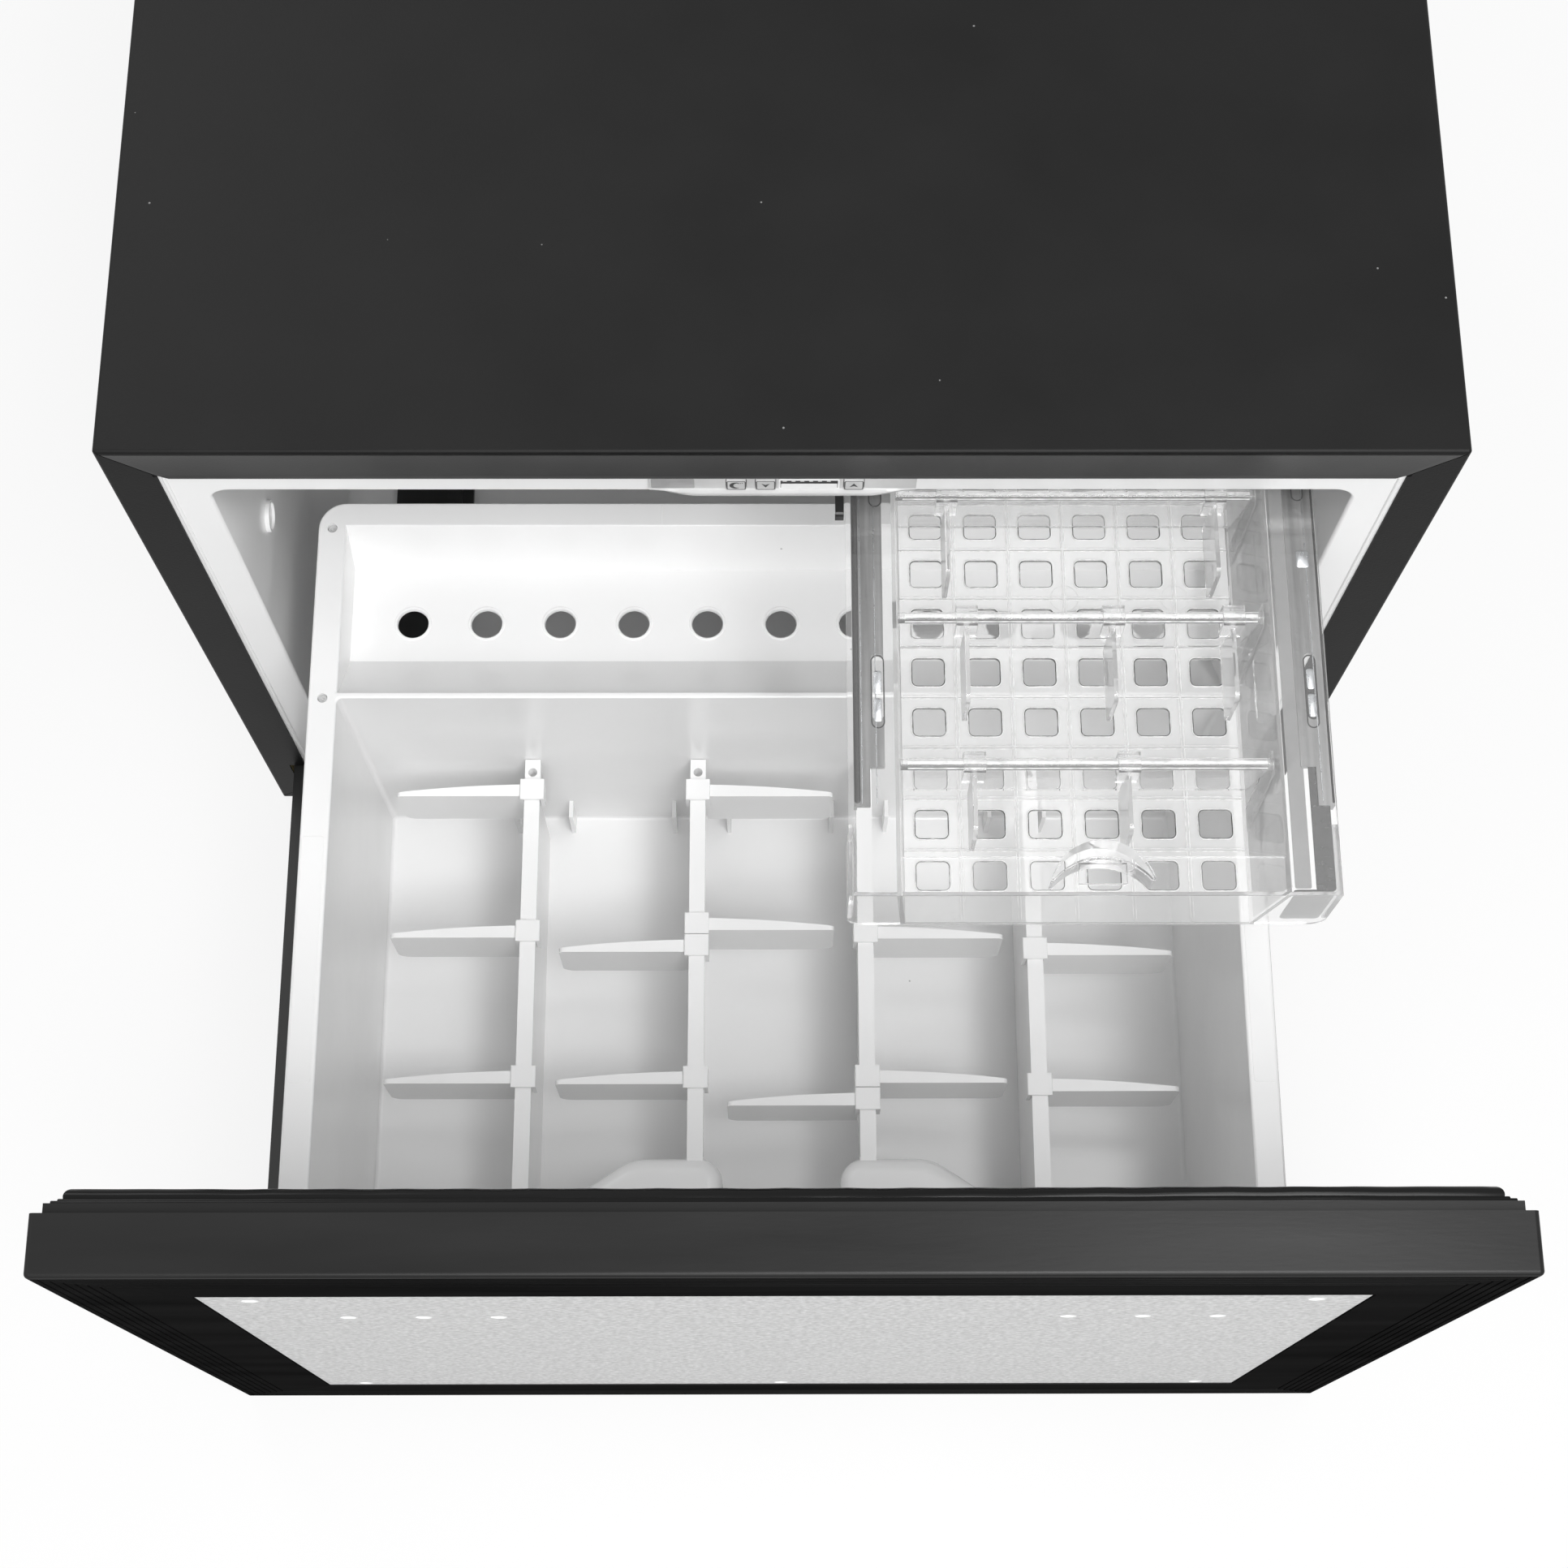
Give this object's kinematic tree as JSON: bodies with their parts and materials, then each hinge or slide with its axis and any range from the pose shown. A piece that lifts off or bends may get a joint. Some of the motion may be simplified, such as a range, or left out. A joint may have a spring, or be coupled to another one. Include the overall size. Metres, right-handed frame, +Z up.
{
  "type": "minibar fridge",
  "caption": "Drawer minibar fridge: black insulated cabinet, white drawer with sliding dividers, and a clear upper tray on slides.",
  "frame": {"origin": "centre of the cabinet's flat underside", "axes": "+Z up, +X right, the door faces -Y"},
  "size_m": [0.55, 0.7648, 0.425],
  "materials": {
    "black_powder_coat": "fine textured",
    "galvanised_sheet": "satin",
    "zinc_screw": "satin",
    "foam": "matte",
    "white_plastic": "gloss",
    "black_plastic": "satin",
    "black_steel": "satin",
    "zinc_slide": "satin",
    "clear_plastic": "clear gloss",
    "grey_panel": "embossed",
    "gasket_rubber": "gloss",
    "dark_screen": "gloss",
    "module_grey": "satin",
    "aluminium": "satin",
    "ceramic_white": "matte"
  },
  "bodies": {
    "cabinet": {"outer_wrap": "black_powder_coat", "base_pan": "black_powder_coat", "rear_panel": "galvanised_sheet", "rear_screws": "zinc_screw", "insulation_foam": "foam", "inner_liner": "white_plastic", "wall_plugs": "white_plastic", "floor_guide": "black_plastic", "runner_cabinet_members": "black_steel", "tray_runner_cabinet_members": "zinc_slide", "control_housing": "module_grey", "display_screen": "dark_screen", "cooling_plate": "aluminium", "cold_block": "aluminium", "peltier_module": "ceramic_white", "heat_sink": "aluminium", "fan_housing": "black_plastic", "power_supply": "black_plastic", "power_inlet": "black_plastic"},
    "drawer": {"drawer_bin": "white_plastic", "divider_rails": "white_plastic", "bottle_rests": "white_plastic", "door_frame": "black_plastic", "door_liner": "white_plastic", "door_foam": "foam", "front_panel": "grey_panel", "panel_anchors": "white_plastic", "door_gasket": "gasket_rubber", "runner_drawer_members": "black_steel", "runner_brackets": "galvanised_sheet", "drawer_screws": "zinc_screw"},
    "tray": {"tray_basin": "clear_plastic", "tray_floor": "clear_plastic", "tray_rods": "clear_plastic", "tray_runner_members": "zinc_slide"},
    "drawer_runner_middle": {"runner_middle_members": "black_steel"},
    "tray_runner_middle": {"tray_runner_middle_members": "zinc_slide"},
    "fan": {"fan_rotor": "black_plastic"},
    "key_night": {"button_night": "module_grey"},
    "key_down": {"button_down": "module_grey"},
    "key_up": {"button_up": "module_grey"},
    "fin_1_rear": {"fin_1_rear": "white_plastic"},
    "fin_1_middle": {"fin_1_middle": "white_plastic"},
    "fin_1_front": {"fin_1_front": "white_plastic"},
    "fin_2_rear": {"fin_2_rear": "white_plastic"},
    "fin_2_middle": {"fin_2_middle": "white_plastic"},
    "fin_2_back_left": {"fin_2_back_left": "white_plastic"},
    "fin_2_front_left": {"fin_2_front_left": "white_plastic"},
    "fin_3_middle": {"fin_3_middle": "white_plastic"},
    "fin_3_front": {"fin_3_front": "white_plastic"},
    "fin_3_front_left": {"fin_3_front_left": "white_plastic"},
    "fin_4_middle": {"fin_4_middle": "white_plastic"},
    "fin_4_front": {"fin_4_front": "white_plastic"},
    "clip_front_left": {"clip_front_left": "clear_plastic"},
    "clip_front_right": {"clip_front_right": "clear_plastic"},
    "clip_middle_left": {"clip_middle_left": "clear_plastic"},
    "clip_middle": {"clip_middle": "clear_plastic"},
    "clip_middle_right": {"clip_middle_right": "clear_plastic"},
    "clip_rear_left": {"clip_rear_left": "clear_plastic"},
    "clip_rear_right": {"clip_rear_right": "clear_plastic"}
  },
  "joints": [
    {"name": "drawer_slide", "type": "slide", "parent": "cabinet", "child": "drawer", "axis": [0, -1, 0], "range_m": [-0.29, 0.01]},
    {"name": "drawer_runner_slide", "type": "slide", "parent": "cabinet", "child": "drawer_runner_middle", "axis": [0, -1, 0], "range_m": [-0.146, 0.006]},
    {"name": "tray_slide", "type": "slide", "parent": "cabinet", "child": "tray", "axis": [0, -1, 0], "range_m": [-0.1755, 0.0065]},
    {"name": "tray_runner_slide", "type": "slide", "parent": "cabinet", "child": "tray_runner_middle", "axis": [0, -1, 0], "range_m": [-0.088, 0.0035]},
    {"name": "fan_spin", "type": "hinge", "parent": "cabinet", "child": "fan", "pos_m": [0, 0.2, 0.2975], "axis": [0, 1, 0], "continuous": true},
    {"name": "press_night", "type": "slide", "parent": "cabinet", "child": "key_night", "axis": [0, 1, 0], "range_m": [0, 0.0006], "stiffness_N_per_m": 800},
    {"name": "press_down", "type": "slide", "parent": "cabinet", "child": "key_down", "axis": [0, 1, 0], "range_m": [0, 0.0006], "stiffness_N_per_m": 800},
    {"name": "press_up", "type": "slide", "parent": "cabinet", "child": "key_up", "axis": [0, 1, 0], "range_m": [0, 0.0006], "stiffness_N_per_m": 800},
    {"name": "fin_1_rear_slide", "type": "slide", "parent": "drawer", "child": "fin_1_rear", "axis": [0, 1, 0], "range_m": [-0.028, 0]},
    {"name": "fin_1_middle_slide", "type": "slide", "parent": "drawer", "child": "fin_1_middle", "axis": [0, 1, 0], "range_m": [-0.03, 0.03]},
    {"name": "fin_1_front_slide", "type": "slide", "parent": "drawer", "child": "fin_1_front", "axis": [0, 1, 0], "range_m": [-0.05, 0.028]},
    {"name": "fin_2_rear_slide", "type": "slide", "parent": "drawer", "child": "fin_2_rear", "axis": [0, 1, 0], "range_m": [-0.025, 0]},
    {"name": "fin_2_middle_slide", "type": "slide", "parent": "drawer", "child": "fin_2_middle", "axis": [0, 1, 0], "range_m": [0, 0.03]},
    {"name": "fin_2_back_left_slide", "type": "slide", "parent": "drawer", "child": "fin_2_back_left", "axis": [0, 1, 0], "range_m": [-0.022, 0]},
    {"name": "fin_2_front_left_slide", "type": "slide", "parent": "drawer", "child": "fin_2_front_left", "axis": [0, 1, 0], "range_m": [-0.032, 0.028]},
    {"name": "fin_3_middle_slide", "type": "slide", "parent": "drawer", "child": "fin_3_middle", "axis": [0, 1, 0], "range_m": [-0.028, 0.03]},
    {"name": "fin_3_front_slide", "type": "slide", "parent": "drawer", "child": "fin_3_front", "axis": [0, 1, 0], "range_m": [0, 0.028]},
    {"name": "fin_3_front_left_slide", "type": "slide", "parent": "drawer", "child": "fin_3_front_left", "axis": [0, 1, 0], "range_m": [-0.021, 0]},
    {"name": "fin_4_middle_slide", "type": "slide", "parent": "drawer", "child": "fin_4_middle", "axis": [0, 1, 0], "range_m": [-0.03, 0.04]},
    {"name": "fin_4_front_slide", "type": "slide", "parent": "drawer", "child": "fin_4_front", "axis": [0, 1, 0], "range_m": [-0.045, 0.025]},
    {"name": "clip_front_left_slide", "type": "slide", "parent": "tray", "child": "clip_front_left", "axis": [1, 0, 0], "range_m": [-0.018, 0.018]},
    {"name": "clip_front_right_slide", "type": "slide", "parent": "tray", "child": "clip_front_right", "axis": [1, 0, 0], "range_m": [-0.018, 0.03]},
    {"name": "clip_middle_left_slide", "type": "slide", "parent": "tray", "child": "clip_middle_left", "axis": [1, 0, 0], "range_m": [-0.015, 0.018]},
    {"name": "clip_middle_slide", "type": "slide", "parent": "tray", "child": "clip_middle", "axis": [1, 0, 0], "range_m": [-0.018, 0.015]},
    {"name": "clip_middle_right_slide", "type": "slide", "parent": "tray", "child": "clip_middle_right", "axis": [1, 0, 0], "range_m": [-0.015, 0.004]},
    {"name": "clip_rear_left_slide", "type": "slide", "parent": "tray", "child": "clip_rear_left", "axis": [1, 0, 0], "range_m": [-0.012, 0.03]},
    {"name": "clip_rear_right_slide", "type": "slide", "parent": "tray", "child": "clip_rear_right", "axis": [1, 0, 0], "range_m": [-0.03, 0.009]}
  ],
  "couplings": [
    {"joint": "drawer_runner_slide", "follows": "drawer_slide", "ratio": 0.5},
    {"joint": "tray_slide", "follows": "drawer_slide", "ratio": 0.60345},
    {"joint": "tray_runner_slide", "follows": "drawer_slide", "ratio": 0.30172}
  ]
}
